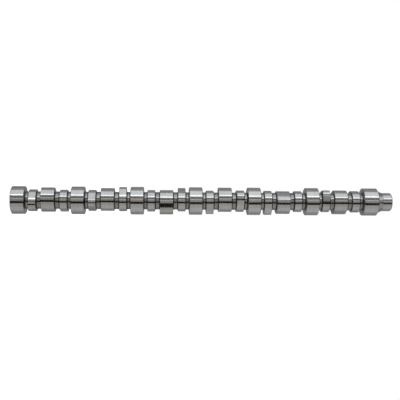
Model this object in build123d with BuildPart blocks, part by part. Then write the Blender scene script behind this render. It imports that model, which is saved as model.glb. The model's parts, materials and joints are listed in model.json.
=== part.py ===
from build123d import *

import os
from math import acos, asin, cos, degrees, radians, sin

# Camshaft of an in-line six-cylinder diesel with unit injectors.
#
# One forged and ground steel shaft. Its axis is +Z, the origin is the centre of the rear end face,
# and +Z runs towards the nose that carries the drive gear. Each cylinder has a group of three lobes
# (valve, injector, valve) between two of the seven bearing journals. Cylinder 1 is next to the nose.
# Lengths are in millimetres and angles in degrees, counted from +X towards +Y.

# Firing order and spacing: one lobe group for each cylinder
FIRING_ORDER = (1, 5, 3, 6, 2, 4)
CYLINDER_PITCH = 161.0

# Bearing journals
JOURNAL_RADIUS = 38.1
JOURNAL_WIDTH = 36.8
REAR_EXTRA = 1.4  # the rear journal is this much longer, at its rear end
FRONT_EXTRA = 6.1  # the front journal is this much longer, at its front end
JOURNAL_CHAMFER = (1.5, 2.5)  # along the axis, in radius
REAR_CHAMFER = (2.2, 3.9)
FRONT_CHAMFER = (3.0, 5.8)

# Core between the lobes and journals
CORE_RADIUS = 24.0

# Nose for the drive gear
NOSE_RADIUS = 25.4
NOSE_LENGTH = 26.7  # the straight seat, with its end chamfer
NOSE_CHAMFER = 3.0
SHOULDER_TAPER = 12.8  # length of the cone from the front journal's face to the seat
SHOULDER_FILLET = 8.0  # where the cone runs out into the seat

# Keyway in the gear seat
KEY_WIDTH = 12.7
KEY_DEPTH = 4.8
KEYWAY_LENGTH = 20.0
KEYWAY_END_GAP = 4.0  # from the nose's end chamfer to the keyway

# Centre holes in both end faces
CENTRE_PILOT_RADIUS = 3.2
CENTRE_MOUTH_RADIUS = 8.0
CENTRE_DEPTH = 16.0
CENTRE_ANGLE = 60.0

# Valve lobes: a base circle and a nose circle, joined on both sides by a rounded flank
VALVE_WIDTH = 21.0
VALVE_OFFSET = 41.8  # from the cylinder's middle to the middle of each valve lobe
EXHAUST_BASE = 29.6
EXHAUST_LIFT = 7.9
EXHAUST_NOSE = 20.6
EXHAUST_FLANK = 58.0
EXHAUST_ANGLE = 122.5  # where the lobe of cylinder 1 points
INTAKE_BASE = 29.1
INTAKE_LIFT = 8.0
INTAKE_NOSE = 14.2
INTAKE_FLANK = 97.0
INTAKE_ANGLE = 220.5

# Injector lobes: arcs tangent to each other. A quick plunge leads over a tight nose to the top,
# where the plunger is held down, and two arcs bring it slowly back.
INJECTOR_WIDTH = 36.9
INJECTOR_BASE = 28.7
INJECTOR_ANGLE = 305.0  # where the lobe of cylinder 1 leaves its base circle
INJECTOR_DWELL = 8.0  # turn spent on the base circle
PLUNGE_TURN = 30.0
PLUNGE_RADIUS = 37.5
STEEP_TURN = 13.0
STEEP_RADIUS = 80.0
INJECTOR_NOSE_TURN = 36.5
INJECTOR_NOSE = 13.0
TOP_TURN = 60.0
TOP_RADIUS = 33.5
FIRST_RETURN_TURN = 84.0  # the second return takes the rest, and both radii close the outline

# Places along the axis
CYLINDERS = len(FIRING_ORDER)
FIRING_STEP = 360.0 / CYLINDERS
REAR_JOURNAL_MIDDLE = REAR_EXTRA + JOURNAL_WIDTH / 2
FRONT_JOURNAL_END = REAR_EXTRA + CYLINDERS * CYLINDER_PITCH + JOURNAL_WIDTH + FRONT_EXTRA
SEAT_START = FRONT_JOURNAL_END + SHOULDER_TAPER
SHAFT_LENGTH = SEAT_START + NOSE_LENGTH


def journal_profile(start, end, start_chamfer, end_chamfer):
    """Radius and height of each corner of one journal, from its rear face to its front face."""
    return [
        (CORE_RADIUS, start),
        (JOURNAL_RADIUS - start_chamfer[1], start),
        (JOURNAL_RADIUS, start + start_chamfer[0]),
        (JOURNAL_RADIUS, end - end_chamfer[0]),
        (JOURNAL_RADIUS - end_chamfer[1], end),
        (CORE_RADIUS, end),
    ]


def turned_outline():
    """Radius and height of each corner of the turned blank."""
    corners = [(0, 0)]
    for journal in range(CYLINDERS + 1):
        start = REAR_JOURNAL_MIDDLE + journal * CYLINDER_PITCH - JOURNAL_WIDTH / 2
        end = start + JOURNAL_WIDTH
        profile = journal_profile(start, end, JOURNAL_CHAMFER, JOURNAL_CHAMFER)
        if journal == 0:
            profile = journal_profile(0, end, REAR_CHAMFER, JOURNAL_CHAMFER)[1:]
        if journal == CYLINDERS:
            profile = journal_profile(start, FRONT_JOURNAL_END, JOURNAL_CHAMFER, FRONT_CHAMFER)[:-1]
        corners += profile
    return corners + [
        (NOSE_RADIUS, SEAT_START),
        (NOSE_RADIUS, SHAFT_LENGTH - NOSE_CHAMFER),
        (NOSE_RADIUS - NOSE_CHAMFER, SHAFT_LENGTH),
        (0, SHAFT_LENGTH),
    ]


def valve_lobe(base, lift, nose, flank):
    """Valve lobe that points along +X, with its middle at the origin."""
    centre = base + lift - nose
    from_base = flank - base
    from_nose = flank - nose
    base_end = acos((from_nose**2 - from_base**2 - centre**2) / (2 * centre * from_base))
    nose_end = asin(from_base * sin(base_end) / from_nose)
    flank_turn = degrees(base_end - nose_end)
    with BuildPart() as lobe:
        with BuildSketch(Plane.XY.offset(-VALVE_WIDTH / 2)):
            with BuildLine():
                back = CenterArc((0, 0), base, degrees(base_end), 360 - 2 * degrees(base_end))
                rise = JernArc(back @ 1, back % 1, flank, flank_turn)
                tip = JernArc(rise @ 1, rise % 1, nose, 2 * degrees(nose_end))
                TangentArc(tip @ 1, back @ 0, tangent=tip % 1)
            make_face()
        extrude(amount=VALVE_WIDTH)
    return lobe.part


def arc_reach(start, end):
    """Step from end to end of an arc of radius 1, given the directions of its tangents."""
    start, end = radians(start), radians(end)
    return Vector(sin(end) - sin(start), cos(start) - cos(end))


def injector_lobe():
    """Injector lobe whose plunge starts at +X, with its middle at the origin."""
    top_end = 90 + PLUNGE_TURN + STEEP_TURN + INJECTOR_NOSE_TURN + TOP_TURN  # directions at the joints
    return_middle = top_end + FIRST_RETURN_TURN
    return_end = 90 + 360 - INJECTOR_DWELL
    first_reach = arc_reach(top_end, return_middle)
    second_reach = arc_reach(return_middle, return_end)
    with BuildPart() as lobe:
        with BuildSketch(Plane.XY.offset(-INJECTOR_WIDTH / 2)):
            with BuildLine():
                dwell = CenterArc((0, 0), INJECTOR_BASE, -INJECTOR_DWELL, INJECTOR_DWELL)
                plunge = JernArc(dwell @ 1, dwell % 1, PLUNGE_RADIUS, PLUNGE_TURN)
                steep = JernArc(plunge @ 1, plunge % 1, STEEP_RADIUS, STEEP_TURN)
                nose = JernArc(steep @ 1, steep % 1, INJECTOR_NOSE, INJECTOR_NOSE_TURN)
                top = JernArc(nose @ 1, nose % 1, TOP_RADIUS, TOP_TURN)
                gap = (dwell @ 0) - (top @ 1)
                first_radius = gap.cross(second_reach).Z / first_reach.cross(second_reach).Z
                first = JernArc(top @ 1, top % 1, first_radius, FIRST_RETURN_TURN)
                TangentArc(first @ 1, dwell @ 0, tangent=first % 1)
            make_face()
        extrude(amount=INJECTOR_WIDTH)
    return lobe.part


exhaust = valve_lobe(EXHAUST_BASE, EXHAUST_LIFT, EXHAUST_NOSE, EXHAUST_FLANK)
intake = valve_lobe(INTAKE_BASE, INTAKE_LIFT, INTAKE_NOSE, INTAKE_FLANK)
injector = injector_lobe()


def lobe_places(cylinder):
    """Each lobe of one cylinder, with its place along the axis and its angle for cylinder 1."""
    middle = REAR_JOURNAL_MIDDLE + (CYLINDERS - cylinder + 0.5) * CYLINDER_PITCH
    front_side = 1 if cylinder % 2 else -1  # like valves stand side by side across a journal
    return (
        (exhaust, middle + front_side * VALVE_OFFSET, EXHAUST_ANGLE),
        (injector, middle, INJECTOR_ANGLE),
        (intake, middle - front_side * VALVE_OFFSET, INTAKE_ANGLE),
    )


with BuildPart() as camshaft:
    # Turned blank: journals, core and nose
    with BuildSketch(Plane.XZ):
        with BuildLine():
            Polyline(*turned_outline(), close=True)
        make_face()
    revolve(axis=Axis.Z)
    circles = camshaft.edges().filter_by(GeomType.CIRCLE)
    fillet(circles.filter_by_position(Axis.Z, SEAT_START, SEAT_START), SHOULDER_FILLET)

    # Six groups of lobes, each turned by its place in the firing order
    for cylinder in range(1, CYLINDERS + 1):
        turn = FIRING_ORDER.index(cylinder) * FIRING_STEP
        for lobe, height, angle in lobe_places(cylinder):
            with Locations(Location((0, 0, height), (0, 0, angle + turn))):
                add(lobe)

    # Keyway in the gear seat, closed at both ends
    keyway_middle = SHAFT_LENGTH - NOSE_CHAMFER - KEYWAY_END_GAP - KEYWAY_LENGTH / 2
    with BuildSketch(Plane(origin=(0, NOSE_RADIUS, keyway_middle), x_dir=(0, 0, 1), z_dir=(0, -1, 0))):
        SlotOverall(KEYWAY_LENGTH, KEY_WIDTH)
    extrude(amount=KEY_DEPTH, mode=Mode.SUBTRACT)

    # Centre holes that the shaft is turned and ground between
    end_faces = (Plane(origin=(0, 0, 0), z_dir=(0, 0, -1)), Plane.XY.offset(SHAFT_LENGTH))
    with Locations(*end_faces):
        CounterSinkHole(
            radius=CENTRE_PILOT_RADIUS,
            counter_sink_radius=CENTRE_MOUTH_RADIUS,
            depth=CENTRE_DEPTH,
            counter_sink_angle=CENTRE_ANGLE,
        )

camshaft.part.label = "camshaft"

os.makedirs("parts", exist_ok=True)
export_step(camshaft.part, "parts/camshaft.step")
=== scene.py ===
"""Camshaft of an in-line six-cylinder diesel, dressed for its picture.

The shaft stands on its rear end face, with its axis along Z. The camera lies on its side, so that the
picture shows the shaft level with its nose to the right: the picture's right is +Z and its up is -X.
Lengths are in metres. Angles are in degrees, counted from +X towards +Y.
"""

import json
from math import acos, asin, atan2, cos, degrees, pi, radians, sin, sqrt, tan

import bmesh
import bpy
from mathutils import Matrix, Vector


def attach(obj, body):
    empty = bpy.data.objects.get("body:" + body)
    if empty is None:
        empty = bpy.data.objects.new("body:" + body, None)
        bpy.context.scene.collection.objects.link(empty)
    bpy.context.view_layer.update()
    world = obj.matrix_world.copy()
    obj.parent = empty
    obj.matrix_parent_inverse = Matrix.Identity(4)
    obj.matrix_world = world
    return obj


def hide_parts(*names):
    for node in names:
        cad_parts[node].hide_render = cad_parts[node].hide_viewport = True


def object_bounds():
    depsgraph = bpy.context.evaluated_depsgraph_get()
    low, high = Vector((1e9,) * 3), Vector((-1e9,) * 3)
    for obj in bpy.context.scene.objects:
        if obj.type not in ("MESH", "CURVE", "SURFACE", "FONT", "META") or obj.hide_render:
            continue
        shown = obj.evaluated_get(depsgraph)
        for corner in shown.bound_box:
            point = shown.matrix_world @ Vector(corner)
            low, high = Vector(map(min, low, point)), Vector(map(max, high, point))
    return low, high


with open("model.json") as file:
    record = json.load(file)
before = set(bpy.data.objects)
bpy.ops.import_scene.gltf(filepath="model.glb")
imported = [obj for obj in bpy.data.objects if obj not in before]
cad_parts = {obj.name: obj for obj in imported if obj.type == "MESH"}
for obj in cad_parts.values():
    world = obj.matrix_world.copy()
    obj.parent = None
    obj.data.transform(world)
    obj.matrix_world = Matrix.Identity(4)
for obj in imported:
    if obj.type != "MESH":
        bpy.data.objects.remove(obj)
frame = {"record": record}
cad_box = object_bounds()

# ---- Sizes of the shaft, the same as in its solid unless a comment says otherwise ----

MOUNTS = {mount["name"]: mount for mount in frame["record"]["mounts"]}
SHAFT_LENGTH = cad_box[1].z
JOURNAL_RADIUS = MOUNTS["journal_4"]["dims"]["r_mm"] / 1000
NOSE_RADIUS = MOUNTS["gear_seat"]["dims"]["r_mm"] / 1000
CYLINDER_PITCH = MOUNTS["journal_4"]["pos_m"][2] - MOUNTS["journal_5"]["pos_m"][2]

FIRING_ORDER = (1, 5, 3, 6, 2, 4)
CYLINDERS = len(FIRING_ORDER)
FIRING_STEP = 360 / CYLINDERS

JOURNAL_WIDTH = 0.0368
REAR_EXTRA = 0.0014
FRONT_EXTRA = 0.0061
JOURNAL_CHAMFER = (0.0015, 0.0025)  # along the axis, in radius
REAR_CHAMFER = (0.0022, 0.0039)
FRONT_CHAMFER = (0.0030, 0.0058)

CORE_RADIUS = 0.0240
CORE_FILLET = 0.0025  # only here, since it would take too many triangles in the solid
FILLET_STEPS = 4
SMOOTH_MARGIN = 0.0004  # a ring this far past a fillet keeps the core beside it straight

NOSE_CHAMFER = 0.0030
SHOULDER_TAPER = 0.0128
SHOULDER_BLEND = 0.0020  # each side of the seat's start, the run of the fillet between taper and seat

VALVE_WIDTH = 0.0210
VALVE_OFFSET = 0.0418
EXHAUST = {"base": 0.0296, "lift": 0.0079, "nose": 0.0206, "flank": 0.058, "angle": 122.5}
INTAKE = {"base": 0.0291, "lift": 0.0080, "nose": 0.0142, "flank": 0.097, "angle": 220.5}
INJECTOR_WIDTH = 0.0369
INJECTOR_BASE = 0.0287
INJECTOR_ANGLE = 305
INJECTOR_DWELL = 8
INJECTOR_RISE = ((30, 0.0375), (13, 0.080), (36.5, 0.013), (60, 0.0335))  # turn and radius of each arc
FIRST_RETURN_TURN = 84
LOBE_CHAMFER = (0.0009, 0.0011)  # along the axis, in radius; only here too

KEY_WIDTH = 0.0127
KEY_DEPTH = 0.0048
KEYWAY_LENGTH = 0.0200
KEYWAY_END_GAP = 0.0040  # from the nose's chamfer to the keyway
KEYWAY_ARC_STEPS = 24
CENTRE_PILOT_RADIUS = 0.0032
CENTRE_MOUTH_RADIUS = 0.0080
CENTRE_DEPTH = 0.0160
CENTRE_HALF_ANGLE = 30

REAR_JOURNAL_MIDDLE = REAR_EXTRA + JOURNAL_WIDTH / 2
FRONT_JOURNAL_END = REAR_EXTRA + CYLINDERS * CYLINDER_PITCH + JOURNAL_WIDTH + FRONT_EXTRA
SEAT_START = FRONT_JOURNAL_END + SHOULDER_TAPER

SEGMENTS = 192  # points round each ring of the mesh
ANGLES = [360 * index / SEGMENTS for index in range(SEGMENTS)]
CREASE = 28  # edges that turn more than this are sharp
WELD_DISTANCE = 1e-6


# ---- Finishes of the steel, and the steel with painted shade ----

# Each has its colour between its grinding or turning lines and on them, its least and most roughness,
# and the depth of the lines and their count for each metre of the shaft.
FINISHES_AND_SHADE = {
    "ground_steel": ((0.46, 0.46, 0.455), (0.58, 0.58, 0.575), 0.11, 0.135, 1e-6, 230),
    "lobe_steel": ((0.43, 0.43, 0.425), (0.545, 0.545, 0.54), 0.11, 0.135, 1e-6, 230),
    "core_steel": ((0.265, 0.263, 0.26), (0.36, 0.357, 0.353), 0.12, 0.16, 1.5e-6, 300),
    "faced_steel": ((0.32, 0.32, 0.32), (0.44, 0.44, 0.44), 0.18, 0.26, 2e-6, 260),
    # Painted shade: this darkest steel goes on the lobes' side faces and on the fillets in the corners by
    # the core, and stands in for the shade and dark reflections there.
    "painted_shade_steel": ((0.12, 0.12, 0.125), (0.19, 0.19, 0.195), 0.18, 0.26, 2e-6, 260),
}
GROUND, LOBE, CORE, FACED, PAINTED_SHADE = range(len(FINISHES_AND_SHADE))  # their material slots on the mesh

# Noise in the steel, in cycles for each metre across the shaft and along it
LINES_NOISE = {"across": 3, "detail": 5, "roughness": 0.75}
STREAKS_NOISE = {"across": 60, "detail": 4, "roughness": 0.6}
STAINS_NOISE = {"across": 35, "along": 22, "detail": 3, "roughness": 0.6}
LINES_TO_A_STREAK = 4
LINES_SHARE = 0.7  # share of the lines in what varies the colour, where stains are the rest
COLOUR_SPREAD = (0.36, 0.64)  # the values of that between which the colour changes
STREAKS_SPREAD = (0.3, 0.7)  # the values of the streaks between which the roughness changes
BUMP_STRENGTH = 0.6
ANISOTROPY = 0.5


# ---- Outlines of the lobes, as a radius at each of the angles ----

def circle(radius):
    """The same radius all the way round."""
    return [radius] * SEGMENTS


def inset(outline, depth):
    """An outline moved in towards the axis."""
    return [radius - depth for radius in outline]


def polar(radius, angle):
    """Flat vector of a length, at an angle about the axis."""
    return radius * Vector((cos(radians(angle)), sin(radians(angle))))


def cross(first, second):
    """Cross product of two flat vectors."""
    return first.x * second.y - first.y * second.x


def reach_of_circle(angle, centre, radius):
    """Distance from the axis to the far side of a circle."""
    ray = polar(1, angle)
    return ray.dot(centre) + sqrt(radius ** 2 - cross(ray, centre) ** 2)


def arc_chain(start, joint, arcs):
    """Centre, radius and last angle of each arc of an outline, and the point where the last one ends.

    Joint is the direction that the outline faces at its start, and arcs the turn and radius of each.
    """
    found = []
    for turn, radius in arcs:
        centre = start - polar(radius, joint)
        joint += turn
        start = centre + polar(radius, joint)
        found.append((centre, radius, degrees(atan2(start.y, start.x)) % 360))
    return found, start


def valve_arcs(lobe):
    """Arcs of a valve lobe that points along +X, from the end of its nose."""
    centre = lobe["base"] + lobe["lift"] - lobe["nose"]
    from_base = lobe["flank"] - lobe["base"]
    from_nose = lobe["flank"] - lobe["nose"]
    base_end = acos((from_nose ** 2 - from_base ** 2 - centre ** 2) / (2 * centre * from_base))
    nose_end = asin(from_base * sin(base_end) / from_nose)
    base_end, nose_end = degrees(base_end), degrees(nose_end)
    flank = (base_end - nose_end, lobe["flank"])
    arcs = ((nose_end, lobe["nose"]), flank, (360 - 2 * base_end, lobe["base"]), flank)
    found = arc_chain(polar(lobe["base"] + lobe["lift"], 0), 0, arcs)[0]
    return found + [(polar(centre, 0), lobe["nose"], 360)]


def injector_arcs():
    """Arcs of the injector lobe, from the start of its plunge. Two return radii close the outline."""
    rise, top_end = arc_chain(polar(INJECTOR_BASE, 0), 0, INJECTOR_RISE)
    joint = sum(turn for turn, radius in INJECTOR_RISE)
    middle = joint + FIRST_RETURN_TURN
    end = 360 - INJECTOR_DWELL
    gap = polar(INJECTOR_BASE, end) - top_end
    first = polar(1, middle) - polar(1, joint)
    second = polar(1, end) - polar(1, middle)
    whole = cross(first, second)
    returns = ((middle - joint, cross(gap, second) / whole), (end - middle, cross(first, gap) / whole))
    back = arc_chain(top_end, joint, returns)[0]
    return rise + back + [(Vector((0, 0)), INJECTOR_BASE, 360)]


def radius_at(arcs, angle):
    """Radius of an outline of arcs, at an angle from its start."""
    for centre, radius, last in arcs:
        if angle % 360 <= last:
            return reach_of_circle(angle, centre, radius)


# ---- The shaft as a stack of rings, from the rear end to the nose ----

def centre_hole(face, inward):
    """Rings of a centre hole. Inward is 1 at the rear end and -1 at the nose."""
    cone = (CENTRE_MOUTH_RADIUS - CENTRE_PILOT_RADIUS) / tan(radians(CENTRE_HALF_ANGLE))
    rings = [
        (face + inward * CENTRE_DEPTH, circle(0), FACED),
        (face + inward * CENTRE_DEPTH, circle(CENTRE_PILOT_RADIUS), FACED),
        (face + inward * cone, circle(CENTRE_PILOT_RADIUS), FACED),
        (face, circle(CENTRE_MOUTH_RADIUS), FACED),
    ]
    return rings[::inward]


def core_fillet(face, side, face_steel):
    """Rings of the fillet between the core and a face, with shade painted into the corner. Side is 1
    above the face and -1 below it.
    """
    rings = []
    for step in range(FILLET_STEPS + 1):
        turn = radians(90 * step / FILLET_STEPS)
        height = face + side * CORE_FILLET * (1 - cos(turn))
        # Painted shade: the fillet's steel is darkened for the shade in the corner.
        rings.append([height, circle(CORE_RADIUS + CORE_FILLET * (1 - sin(turn))), PAINTED_SHADE])
    rings.append([face + side * (CORE_FILLET + SMOOTH_MARGIN), circle(CORE_RADIUS), CORE])
    if side < 0:
        rings[0][2] = face_steel  # the face comes after this ring, which is the last when turned over
    return rings[::side]


def collar_rings(collar, outside_finish, face_steel):
    """Rings of a journal or lobe."""
    start, end, outline, start_chamfer, end_chamfer = collar
    return [
        (start, inset(outline, start_chamfer[1]), FACED),
        (start + start_chamfer[0], outline, outside_finish),
        (end - end_chamfer[0], outline, FACED),
        (end, inset(outline, end_chamfer[1]), face_steel),
    ]


def nose_rings():
    """Rings of the shoulder and the gear seat. The fillet between them is a parabola of three rings."""
    slope = (JOURNAL_RADIUS - FRONT_CHAMFER[1] - NOSE_RADIUS) / SHOULDER_TAPER
    step_down = slope * SHOULDER_BLEND
    return [
        (SEAT_START - SHOULDER_BLEND, circle(NOSE_RADIUS + step_down), GROUND),
        (SEAT_START, circle(NOSE_RADIUS + step_down / 4), GROUND),
        (SEAT_START + SHOULDER_BLEND, circle(NOSE_RADIUS), GROUND),
        (SHAFT_LENGTH - NOSE_CHAMFER, circle(NOSE_RADIUS), FACED),
        (SHAFT_LENGTH, circle(NOSE_RADIUS - NOSE_CHAMFER), FACED),
    ]


def collars():
    """Start, end, outline and end chamfers of each journal and lobe, from the rear end to the nose."""
    found = []
    for journal in range(CYLINDERS + 1):
        start = REAR_EXTRA + journal * CYLINDER_PITCH
        end = start + JOURNAL_WIDTH
        found.append([start, end, circle(JOURNAL_RADIUS), JOURNAL_CHAMFER, JOURNAL_CHAMFER])
    found[0][0], found[0][3] = 0, REAR_CHAMFER
    found[-1][1], found[-1][4] = FRONT_JOURNAL_END, FRONT_CHAMFER

    for cylinder in range(1, CYLINDERS + 1):
        middle = REAR_JOURNAL_MIDDLE + (CYLINDERS - cylinder + 0.5) * CYLINDER_PITCH
        turn = FIRING_ORDER.index(cylinder) * FIRING_STEP
        offset = VALVE_OFFSET if cylinder % 2 else -VALVE_OFFSET
        lobes = (
            (injector_arcs(), INJECTOR_ANGLE, middle, INJECTOR_WIDTH),
            (valve_arcs(EXHAUST), EXHAUST["angle"], middle + offset, VALVE_WIDTH),
            (valve_arcs(INTAKE), INTAKE["angle"], middle - offset, VALVE_WIDTH),
        )
        for arcs, points_to, place, width in lobes:
            outline = [radius_at(arcs, angle - points_to - turn) for angle in ANGLES]
            found.append([place - width / 2, place + width / 2, outline, LOBE_CHAMFER, LOBE_CHAMFER])
    return sorted(found, key=lambda collar: collar[0])


def shaft_rings():
    """Height, outline and steel of every ring, one of the finishes or the painted shade. The steel is
    that of the surface up to the next ring.
    """
    rings = centre_hole(0, 1)
    placed = collars()
    for collar in placed:
        is_lobe = LOBE_CHAMFER in collar
        # Painted shade: the lobes' side faces take the darkened steel, for their shade and dark
        # reflections.
        outside_finish, face_steel = (LOBE, PAINTED_SHADE) if is_lobe else (GROUND, FACED)
        if collar is not placed[0]:
            rings += core_fillet(collar[0], -1, face_steel)
        rings += collar_rings(collar, outside_finish, face_steel)
        if collar is not placed[-1]:
            rings += core_fillet(collar[1], 1, face_steel)
    rings[-1] = (*rings[-1][:2], GROUND)  # the shoulder is ground with the seat
    return rings + nose_rings() + centre_hole(SHAFT_LENGTH, -1)


def mesh_object(name, points, faces, slots):
    """A new object in the scene, from points and faces with their material slots."""
    mesh = bpy.data.meshes.new(name)
    mesh.from_pydata(points, [], faces)
    mesh.polygons.foreach_set("material_index", slots)
    piece = bpy.data.objects.new(name, mesh)
    bpy.context.collection.objects.link(piece)
    return piece


def ring_stack(name, rings):
    """An object made of rings, each joined to the next."""
    points = []
    for height, outline, finish in rings:
        for radius, angle in zip(outline, ANGLES):
            points.append((*polar(radius, angle), height))
    faces = []
    slots = []
    for level in range(len(rings) - 1):
        low = level * SEGMENTS
        high = low + SEGMENTS
        for index in range(SEGMENTS):
            after = (index + 1) % SEGMENTS
            faces.append((low + index, low + after, high + after, high + index))
            slots.append(rings[level][2])
    return mesh_object(name, points, faces, slots)


def keyway_cutter():
    """A round-ended block that cuts the keyway in the +Y side of the gear seat."""
    middle = SHAFT_LENGTH - NOSE_CHAMFER - KEYWAY_END_GAP - KEYWAY_LENGTH / 2
    half_run = (KEYWAY_LENGTH - KEY_WIDTH) / 2
    outline = []
    for step in range(KEYWAY_ARC_STEPS + 1):
        turn = 180 * step / KEYWAY_ARC_STEPS - 90
        outline.append(polar(KEY_WIDTH / 2, turn) + Vector((half_run, 0)))
    outline += [-point for point in outline]
    count = len(outline)
    points = []
    for height in (NOSE_RADIUS - KEY_DEPTH, NOSE_RADIUS + KEY_DEPTH):
        points += [(point.y, height, middle + point.x) for point in outline]
    faces = [tuple(range(count))[::-1], tuple(range(count, 2 * count))]
    for index in range(count):
        after = (index + 1) % count
        faces.append((index, after, count + after, count + index))
    return mesh_object("keyway_cutter", points, faces, [FACED] * len(faces))


def weld(mesh):
    """Join the points that lie together, and turn every face outwards."""
    form = bmesh.new()
    form.from_mesh(mesh)
    bmesh.ops.remove_doubles(form, verts=form.verts, dist=WELD_DISTANCE)
    bmesh.ops.recalc_face_normals(form, faces=form.faces)
    form.to_mesh(mesh)
    form.free()


def build_shaft(materials):
    """The whole shaft as one object, with its keyway cut and its creases marked."""
    shaft = ring_stack("camshaft_steel", shaft_rings())
    cutter = keyway_cutter()
    for piece in (shaft, cutter):
        for material in materials:
            piece.data.materials.append(material)
        weld(piece.data)
    cut = shaft.modifiers.new("keyway", "BOOLEAN")
    cut.object = cutter
    cut.solver = "EXACT"
    cut.operation = "DIFFERENCE"
    shapes = bpy.context.evaluated_depsgraph_get()
    shaft.data = bpy.data.meshes.new_from_object(shaft.evaluated_get(shapes))
    shaft.modifiers.clear()
    bpy.data.objects.remove(cutter)
    weld(shaft.data)
    shaft.data.shade_smooth()
    shaft.data.set_sharp_from_angle(angle=radians(CREASE))
    return shaft


# ---- Node helpers ----

def cleared_tree(owner):
    """The node tree of a material or world, with nothing in it."""
    owner.use_nodes = True
    owner.node_tree.nodes.clear()
    return owner.node_tree


def add_node(tree, kind, inputs=None, **settings):
    """A new node with its settings, and its inputs set to values or linked to sockets."""
    node = tree.nodes.new(kind)
    for name, value in settings.items():
        setattr(node, name, value)
    for name, value in (inputs or {}).items():
        if isinstance(value, bpy.types.NodeSocket):
            tree.links.new(value, node.inputs[name])
        else:
            node.inputs[name].default_value = value
    return node


def calculate(tree, operation, *values):
    """The result of a Math node."""
    return add_node(tree, "ShaderNodeMath", dict(enumerate(values)), operation=operation).outputs[0]


def scaled(tree, value, low, high, new_low, new_high):
    """A value moved from one range to another, and held inside it."""
    inputs = {"Value": value, "From Min": low, "From Max": high, "To Min": new_low, "To Max": new_high}
    return add_node(tree, "ShaderNodeMapRange", inputs).outputs["Result"]


def mixed(tree, factor, first, second):
    """Two colours mixed. A Mix node keeps its sockets for colours at these places."""
    inputs = {0: factor, 6: first, 7: second}
    return add_node(tree, "ShaderNodeMix", inputs, data_type="RGBA").outputs[2]


def noise(tree, across, along, detail, roughness):
    """Noise over the object, with its cycles for each metre across the shaft and along it."""
    place = add_node(tree, "ShaderNodeTexCoord").outputs["Object"]
    stretch = (across, across, along)
    place = add_node(tree, "ShaderNodeMapping", {"Vector": place, "Scale": stretch}).outputs[0]
    inputs = {"Vector": place, "Scale": 1, "Detail": detail, "Roughness": roughness}
    return add_node(tree, "ShaderNodeTexNoise", inputs).outputs["Fac"]


# ---- Materials ----

def steel(name, between, on_line, smooth, rough, line_depth, line_count):
    """Bare steel with lines round the shaft, from the values of one of the finishes or of the painted
    shade.
    """
    material = bpy.data.materials.new(name)
    tree = cleared_tree(material)
    lines = noise(tree, along=line_count, **LINES_NOISE)
    stains = noise(tree, **STAINS_NOISE)
    streaks = noise(tree, along=line_count / LINES_TO_A_STREAK, **STREAKS_NOISE)
    lines_part = calculate(tree, "MULTIPLY", lines, LINES_SHARE)
    stains_part = calculate(tree, "MULTIPLY", stains, 1 - LINES_SHARE)
    shade = scaled(tree, calculate(tree, "ADD", lines_part, stains_part), *COLOUR_SPREAD, 0, 1)
    bump_inputs = {"Strength": BUMP_STRENGTH, "Distance": line_depth, "Height": lines}
    shader = add_node(tree, "ShaderNodeBsdfPrincipled", {
        "Base Color": mixed(tree, shade, (*between, 1), (*on_line, 1)),
        "Metallic": 1.0,
        "Roughness": scaled(tree, streaks, *STREAKS_SPREAD, smooth, rough),
        "Anisotropic": ANISOTROPY,
        "Normal": add_node(tree, "ShaderNodeBump", bump_inputs).outputs[0],
        "Tangent": add_node(tree, "ShaderNodeTangent", direction_type="RADIAL", axis="Z").outputs[0],
    })
    add_node(tree, "ShaderNodeOutputMaterial", {"Surface": shader.outputs[0]})
    return material


shaft = build_shaft([steel(name, *values) for name, values in FINISHES_AND_SHADE.items()])
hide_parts("camshaft")
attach(shaft, "root")


# ---- Studio ----

# Tall cards stand in a ring round the shaft, out of the camera's sight. Each runs between two angles
# from the camera's direction, towards the picture's top, and has a colour, where white is 1.
CARDS = {
    "camera_side": (-8, 11.5, (0.42, 0.405, 0.38)),
    "camera_glint": (11.5, 16.5, (1.00, 0.97, 0.92)),
    "camera_top": (16.5, 33, (0.21, 0.203, 0.19)),
    "strip_edge": (33, 41, (0.70, 0.70, 0.69)),
    "softbox": (41, 92, (1.07, 1.13, 1.17)),
    "ceiling_back": (92, 116, (0.44, 0.447, 0.455)),
    "back_top": (116, 146, (0.34, 0.34, 0.34)),
    "back": (146, 214, (0.36, 0.36, 0.36)),
    "back_bottom": (214, 244, (0.34, 0.34, 0.34)),
    "table_back": (-116, -98, (0.44, 0.44, 0.44)),
    "table": (-98, -58, (0.62, 0.61, 0.60)),
    "table_front": (-58, -27.5, (0.54, 0.53, 0.505)),
    "gap": (-27.5, -8, (0.008, 0.005, 0.003)),
}
CARD_DISTANCE = 3.0
CARD_BOTTOM, CARD_TOP = -9.0, 11.0
CARD_FACET = 4  # turn of each flat of a card, about
CARD_MIDDLE = 0.9  # height at which the cards are lit most
CARD_FALLOFF = 0.05  # share of their light lost a metre from there, which grows with the square
CARD_LEAST = 0.72  # share of their light that is left towards their ends
END_CARD_FACET = 10
END_LEVEL = 0.1  # of the two dark cards that close the ring
OVERHEAD_HEIGHT = 10.9  # of a small bright card, for the faces seen from straight above
OVERHEAD_RADIUS = 1.2
OVERHEAD_LEVEL = 0.6
STRIP_TURN = 44.1
STRIP_WIDTH = 0.27
STRIP_HEIGHT = 4.0
STRIP_GAP = 0.1  # from the strip lamp to the cards
STRIP_LEVEL = 2.2  # how bright the strip lamp looks, where white is 1
CAMERA_SIDE = 270  # the camera's direction from the shaft
AMBIENT = 0.6  # what the world gives to the floor, where white is 1
FLOOR_REACH = 8
FLOOR_PAPER = 0.85
FLOOR_GLOW = 0.8  # added where the floor is seen, so that it looks white


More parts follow.
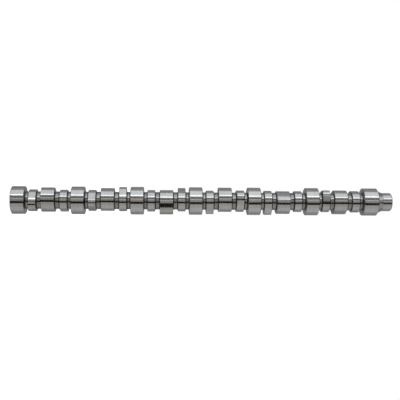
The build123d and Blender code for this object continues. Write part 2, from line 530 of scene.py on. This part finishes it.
def level_when_seen(tree, seen, unseen):
    """One level for rays that show the background, and another for the light that it gives."""
    path = add_node(tree, "ShaderNodeLightPath").outputs
    shown = calculate(tree, "MAXIMUM", path["Is Camera Ray"], path["Is Glossy Ray"])
    shown = calculate(tree, "MAXIMUM", shown, path["Is Transmission Ray"])
    return scaled(tree, shown, 0, 1, unseen, seen)


def light_world():
    """A white world, for the camera and in the steel alike."""
    world = bpy.data.worlds.new("studio")
    bpy.context.scene.world = world
    tree = cleared_tree(world)
    inputs = {"Color": (1, 1, 1, 1), "Strength": level_when_seen(tree, 1, AMBIENT)}
    background = add_node(tree, "ShaderNodeBackground", inputs).outputs[0]
    add_node(tree, "ShaderNodeOutputWorld", {"Surface": background})


def new_card(name, points, faces):
    """A card that the camera doesn't see, and the empty tree of its material."""
    card = mesh_object("card_" + name, points, faces, [0] * len(faces))
    material = bpy.data.materials.new("card_" + name)
    card.data.materials.append(material)
    card.visible_camera = False
    return card, cleared_tree(material)


def light_card(tree, colour, level):
    """Give a card its glow."""
    glow = add_node(tree, "ShaderNodeEmission", {"Color": (*colour, 1), "Strength": level}).outputs[0]
    add_node(tree, "ShaderNodeOutputMaterial", {"Surface": glow})


def add_card(name, first, last, colour):
    """One card of the ring, lit most near its middle."""
    count = max(2, round((last - first) / CARD_FACET))
    points = []
    for step in range(count + 1):
        side = polar(CARD_DISTANCE, CAMERA_SIDE - first - (last - first) * step / count)
        points += [(side.x, side.y, CARD_BOTTOM), (side.x, side.y, CARD_TOP)]
    faces = [(2 * step, 2 * step + 2, 2 * step + 3, 2 * step + 1) for step in range(count)]
    card, tree = new_card(name, points, faces)
    place = add_node(tree, "ShaderNodeTexCoord").outputs["Object"]
    height = add_node(tree, "ShaderNodeSeparateXYZ", {0: place}).outputs["Z"]
    offset = calculate(tree, "POWER", calculate(tree, "SUBTRACT", height, CARD_MIDDLE), 2)
    level = calculate(tree, "SUBTRACT", 1, calculate(tree, "MULTIPLY", offset, CARD_FALLOFF))
    light_card(tree, colour, calculate(tree, "MAXIMUM", level, CARD_LEAST))


def add_end_card(name, height, radius, level):
    """A round card above or below the ring, which only the steel shows."""
    corners = [(*polar(radius, turn), height) for turn in range(0, 360, END_CARD_FACET)]
    card, tree = new_card(name, corners, [tuple(range(len(corners)))])
    light_card(tree, (1, 1, 1), level)
    card.visible_diffuse = False
    card.visible_shadow = False


def add_strip_lamp():
    """The tall lamp whose reflection is the bright line along the shaft."""
    lamp = bpy.data.objects.new("strip", bpy.data.lights.new("strip", "AREA"))
    lamp.data.shape = "RECTANGLE"
    lamp.data.size = STRIP_WIDTH
    lamp.data.size_y = STRIP_HEIGHT
    lamp.data.energy = STRIP_LEVEL * pi * STRIP_WIDTH * STRIP_HEIGHT
    side = polar(CARD_DISTANCE - STRIP_GAP, CAMERA_SIDE - STRIP_TURN)
    lamp.location = (side.x, side.y, CARD_MIDDLE)
    lamp.rotation_euler = Vector((-side.x, -side.y, 0)).to_track_quat("-Z", "Y").to_euler()
    lamp.visible_camera = False
    bpy.context.collection.objects.link(lamp)


def add_floor():
    """A pale floor that keeps a soft shadow."""
    reach = FLOOR_REACH
    corners = [(-reach, -reach, 0), (reach, -reach, 0), (reach, reach, 0), (-reach, reach, 0)]
    floor = mesh_object("floor", corners, [(0, 1, 2, 3)], [0])
    material = bpy.data.materials.new("floor_paper")
    tree = cleared_tree(material)
    colour = (FLOOR_PAPER, FLOOR_PAPER, FLOOR_PAPER, 1)
    paper = add_node(tree, "ShaderNodeBsdfDiffuse", {"Color": colour}).outputs[0]
    level = level_when_seen(tree, FLOOR_GLOW, 0)
    glow = add_node(tree, "ShaderNodeEmission", {"Strength": level}).outputs[0]
    lit = add_node(tree, "ShaderNodeAddShader", {0: paper, 1: glow}).outputs[0]
    add_node(tree, "ShaderNodeOutputMaterial", {"Surface": lit})
    floor.data.materials.append(material)
    floor.visible_glossy = False  # the rear journal shows the cards, as the others do


light_world()
for card, (first, last, colour) in CARDS.items():
    add_card(card, first, last, colour)
add_end_card("below", CARD_BOTTOM, CARD_DISTANCE, END_LEVEL)
add_end_card("above", CARD_TOP, CARD_DISTANCE, END_LEVEL)
add_end_card("overhead", OVERHEAD_HEIGHT, OVERHEAD_RADIUS, OVERHEAD_LEVEL)
add_strip_lamp()
add_floor()


# ---- Camera ----

CAMERA_AIM = 0.5151  # height on the shaft's axis that the camera points at
CAMERA_DISTANCE = 2.052
CAMERA_PITCH = 2.93  # how far the camera, below its aim, looks up
CAMERA_ROLL = 0.345  # turn of the camera about its line of sight
CAMERA_SHIFT_UP = 0.0029  # the picture's centre lies this far above the axis
SENSOR = 36
LENS = 66.64


def add_camera():
    """The camera, on its side and a little below the middle of the shaft."""
    forward = Vector((0, cos(radians(CAMERA_PITCH)), sin(radians(CAMERA_PITCH))))
    level_right = Vector((0, -sin(radians(CAMERA_PITCH)), cos(radians(CAMERA_PITCH))))
    level_up = Vector((-1, 0, 0))
    right = level_right * cos(radians(CAMERA_ROLL)) + level_up * sin(radians(CAMERA_ROLL))
    up = level_up * cos(radians(CAMERA_ROLL)) - level_right * sin(radians(CAMERA_ROLL))
    camera = bpy.data.objects.new("camera", bpy.data.cameras.new("camera"))
    bpy.context.collection.objects.link(camera)
    turn = Matrix((right, up, -forward)).transposed().to_4x4()
    place = Vector((0, 0, CAMERA_AIM)) - forward * CAMERA_DISTANCE + up * CAMERA_SHIFT_UP
    camera.matrix_world = Matrix.Translation(place) @ turn
    camera.data.sensor_width = SENSOR
    camera.data.lens = LENS
    bpy.context.scene.camera = camera


add_camera()

bpy.context.scene.view_settings.view_transform = "Standard"
